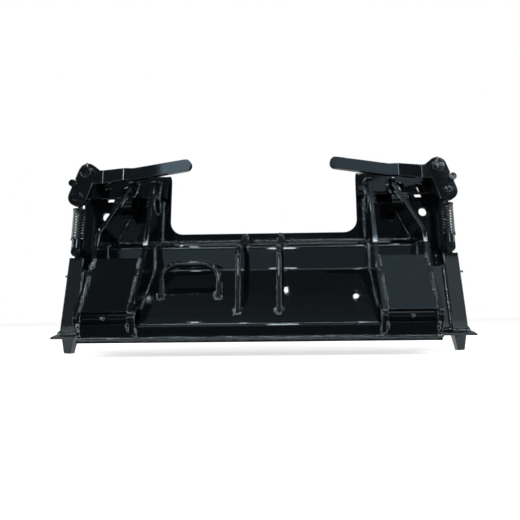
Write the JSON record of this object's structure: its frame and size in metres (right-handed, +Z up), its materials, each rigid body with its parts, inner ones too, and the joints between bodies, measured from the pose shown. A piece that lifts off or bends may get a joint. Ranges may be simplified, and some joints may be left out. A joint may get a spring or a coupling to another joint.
{
  "type": "skid steer quick attach plate",
  "caption": "Black welded quick attach coupler plate for a skid steer loader, with a cut-out, pivot ears, and spring-loaded levers that drive locking wedges.",
  "frame": {"origin": "on the attachment face, midway between the top fold and the lower fold, on the centre plane", "axes": "+X across the plate to the viewer's right in the picture, +Y out of the attachment face, away from the machine, +Z up"},
  "size_m": [1.122, 0.1971, 0.52],
  "materials": {
    "frame_paint": "gloss black enamel",
    "bushing_black": "gloss black enamel, machined bore",
    "linkage_black": "gloss black enamel",
    "spring_black": "semi-gloss black",
    "fastener_black": "semi-gloss black",
    "fitting_steel": "oversprayed steel"
  },
  "bodies": {
    "frame": {"arm_pivot_tube_left": "bushing_black", "arm_pivot_tube_right": "bushing_black", "bay_ledge_left": "frame_paint", "bay_ledge_right": "frame_paint", "closing_plate_left": "frame_paint", "closing_plate_right": "frame_paint", "face_plate": "frame_paint", "floor_plate": "frame_paint", "frame_grease_fittings_left": "fitting_steel", "frame_grease_fittings_right": "fitting_steel", "guard_panel_left": "frame_paint", "guard_panel_right": "frame_paint", "hose_guard_rods": "frame_paint", "hose_loop": "frame_paint", "inner_ear_left": "frame_paint", "inner_ear_right": "frame_paint", "outer_ear_left": "frame_paint", "outer_ear_right": "frame_paint", "pivot_bolt_left": "fastener_black", "pivot_bolt_right": "fastener_black", "pivot_boss_left": "frame_paint", "pivot_boss_right": "frame_paint", "stop_stud_left": "fastener_black", "stop_stud_right": "fastener_black", "tilt_bushings_left": "bushing_black", "tilt_bushings_right": "bushing_black", "toe_plate_left": "frame_paint", "toe_plate_right": "frame_paint", "torsion_box_plate": "frame_paint", "wedge_guide_bar_left": "frame_paint", "wedge_guide_bar_right": "frame_paint", "wedge_housing_left": "frame_paint", "wedge_housing_right": "frame_paint"},
    "lever_left": {"crank_bolt_left": "fastener_black", "lever_bushing_left": "frame_paint", "lever_grease_fitting_left": "fitting_steel", "lever_left": "frame_paint"},
    "lever_right": {"crank_bolt_right": "fastener_black", "lever_bushing_right": "frame_paint", "lever_grease_fitting_right": "fitting_steel", "lever_right": "frame_paint"},
    "rod_left": {"lock_spring_left": "spring_black", "spring_collar_left": "linkage_black", "spring_rod_left": "linkage_black"},
    "rod_right": {"lock_spring_right": "spring_black", "spring_collar_right": "linkage_black", "spring_rod_right": "linkage_black"},
    "sleeve_left": {"spring_sleeve_left": "linkage_black"},
    "sleeve_right": {"spring_sleeve_right": "linkage_black"},
    "wedge_left": {"wedge_bolt_left": "fastener_black", "wedge_left": "linkage_black"},
    "wedge_right": {"wedge_bolt_right": "fastener_black", "wedge_right": "linkage_black"}
  },
  "joints": [
    {"name": "lever_right_pivot", "type": "hinge", "parent": "frame", "child": "lever_right", "pos_m": [0.482, -0.076, 0.203], "axis": [0, 1, 0], "range_deg": [0, 65]},
    {"name": "rod_right_pivot", "type": "hinge", "parent": "lever_right", "child": "rod_right", "pos_m": [0.506, -0.0627, 0.1335], "axis": [0, 1, 0], "range_deg": [-100, 0], "deforming": ["lock_spring_right"]},
    {"name": "wedge_right_slide", "type": "slide", "parent": "frame", "child": "wedge_right", "axis": [-0.061, 0, 0.9981], "range_m": [0, 0.05]},
    {"name": "sleeve_right_pivot", "type": "hinge", "parent": "wedge_right", "child": "sleeve_right", "pos_m": [0.508, -0.0627, -0.018], "axis": [0, 1, 0], "range_deg": [-35, 0]},
    {"name": "lever_left_pivot", "type": "hinge", "parent": "frame", "child": "lever_left", "pos_m": [-0.482, -0.076, 0.203], "axis": [0, -1, 0], "range_deg": [0, 65]},
    {"name": "rod_left_pivot", "type": "hinge", "parent": "lever_left", "child": "rod_left", "pos_m": [-0.506, -0.0627, 0.1335], "axis": [0, -1, 0], "range_deg": [-100, 0], "deforming": ["lock_spring_left"]},
    {"name": "wedge_left_slide", "type": "slide", "parent": "frame", "child": "wedge_left", "axis": [0.061, 0, 0.9981], "range_m": [0, 0.05]},
    {"name": "sleeve_left_pivot", "type": "hinge", "parent": "wedge_left", "child": "sleeve_left", "pos_m": [-0.508, -0.0627, -0.018], "axis": [0, -1, 0], "range_deg": [-35, 0]}
  ],
  "couplings": [
    {"joint": "rod_right_pivot", "follows": "lever_right_pivot", "ratio": -1.505},
    {"joint": "wedge_right_slide", "follows": "lever_right_pivot", "m_per_rad": 0.044},
    {"joint": "sleeve_right_pivot", "follows": "lever_right_pivot", "ratio": -0.505},
    {"joint": "rod_left_pivot", "follows": "lever_left_pivot", "ratio": -1.505},
    {"joint": "wedge_left_slide", "follows": "lever_left_pivot", "m_per_rad": 0.044},
    {"joint": "sleeve_left_pivot", "follows": "lever_left_pivot", "ratio": -0.505}
  ]
}
